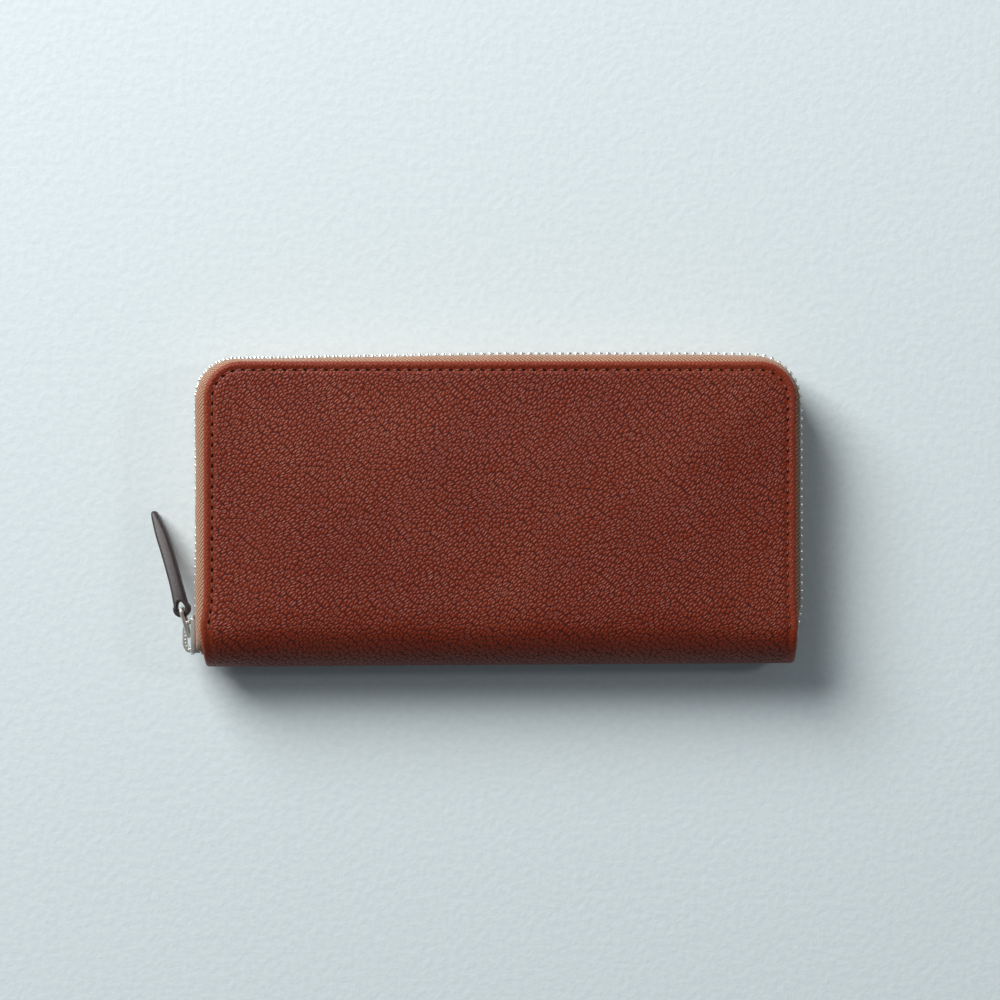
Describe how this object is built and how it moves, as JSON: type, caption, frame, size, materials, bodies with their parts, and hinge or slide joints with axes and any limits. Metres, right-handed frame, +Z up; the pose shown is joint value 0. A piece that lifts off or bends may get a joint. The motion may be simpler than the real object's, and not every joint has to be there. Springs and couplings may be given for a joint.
{
  "type": "zip around wallet",
  "caption": "Long zip-around wallet in grained brown leather, with a metal-toothed zip on three sides, a folded leather pull, card slots, bill compartments and a zipped coin pocket.",
  "frame": {"origin": "centre of the back cover's flat outer face, on which the wallet lies", "axes": "+X along the long side, away from the zip slider's end; +Y from the rolled spine to the opening edge; +Z up through the thickness, from the back cover to the front cover"},
  "size_m": [0.2149, 0.1013, 0.025],
  "materials": {
    "outer_leather": "pebbled grain, semi-gloss, cognac brown",
    "inner_leather": "smooth, satin, brown",
    "pull_leather": "smooth with dark painted edges",
    "lining": "woven lining cloth, tan",
    "board": "bonded leather board, uncoated",
    "zip_tape": "twill tape, tan",
    "thread": "waxed thread, brown",
    "nickel": "polished nickel plating"
  },
  "bodies": {
    "back_half": {"back_leather": "outer_leather", "back_stitching": "thread", "back_board": "board", "back_lining": "lining", "back_card_panel": "lining", "back_card_slot_1": "inner_leather", "back_card_slot_2": "inner_leather", "back_card_slot_3": "inner_leather", "back_card_slot_4": "inner_leather", "zip_tape_back": "zip_tape", "zip_teeth_back": "nickel", "zip_end_stop": "nickel", "spine_leather": "outer_leather", "spine_lining": "lining", "gusset_left": "inner_leather", "gusset_right": "inner_leather"},
    "front_half": {"front_leather": "outer_leather", "front_stitching": "thread", "front_board": "board", "front_lining": "lining", "front_card_panel": "lining", "front_card_slot_1": "inner_leather", "front_card_slot_2": "inner_leather", "front_card_slot_3": "inner_leather", "front_card_slot_4": "inner_leather", "zip_tape_front": "zip_tape", "zip_teeth_front": "nickel"},
    "coin_pocket": {"coin_wall_front": "inner_leather", "coin_wall_back": "inner_leather", "coin_binding_left": "lining", "coin_binding_right": "lining", "coin_binding_base": "lining", "coin_zip_tape_front": "zip_tape", "coin_zip_tape_back": "zip_tape", "coin_zip_teeth_front": "nickel", "coin_zip_teeth_back": "nickel"},
    "zip_slider": {"slider_body": "nickel", "slider_bridge": "nickel"},
    "pull_link": {"pull_link": "nickel"},
    "leather_pull": {"leather_pull": "pull_leather"},
    "coin_zip_slider": {"coin_zip_slider": "nickel"},
    "coin_zip_pull": {"coin_zip_pull": "nickel"}
  },
  "joints": [
    {"name": "cover_open", "type": "hinge", "parent": "back_half", "child": "front_half", "pos_m": [0, -0.0365, 0.0125], "axis": [1, 0, 0], "range_deg": [0, 75], "deforming": ["spine_leather", "spine_lining", "gusset_left", "gusset_right", "zip_tape_front"]},
    {"name": "coin_pocket_swing", "type": "hinge", "parent": "back_half", "child": "coin_pocket", "pos_m": [0, -0.0365, 0.0125], "axis": [1, 0, 0], "range_deg": [0, 37.5]},
    {"name": "slider_travel", "type": "slide", "parent": "back_half", "child": "zip_slider", "axis": [0, 1, 0], "range_m": [0, 0.066], "deforming": ["zip_teeth_front", "zip_teeth_back"]},
    {"name": "link_swing", "type": "hinge", "parent": "zip_slider", "child": "pull_link", "pos_m": [-0.10175, -0.0405, 0.0125], "axis": [0, 0, 1], "range_deg": [-5, 140]},
    {"name": "pull_swing", "type": "hinge", "parent": "pull_link", "child": "leather_pull", "pos_m": [-0.10405, -0.03159, 0.0125], "axis": [0, 0, 1], "range_deg": [-12, 25]},
    {"name": "coin_slider_travel", "type": "slide", "parent": "coin_pocket", "child": "coin_zip_slider", "axis": [1, 0, 0], "range_m": [0, 0.153]},
    {"name": "coin_pull_swing", "type": "hinge", "parent": "coin_zip_slider", "child": "coin_zip_pull", "pos_m": [-0.0765, 0.0331, 0.0125], "axis": [0, 0, 1], "range_deg": [0, 180]}
  ],
  "couplings": [
    {"joint": "coin_pocket_swing", "follows": "cover_open", "ratio": 0.5}
  ]
}
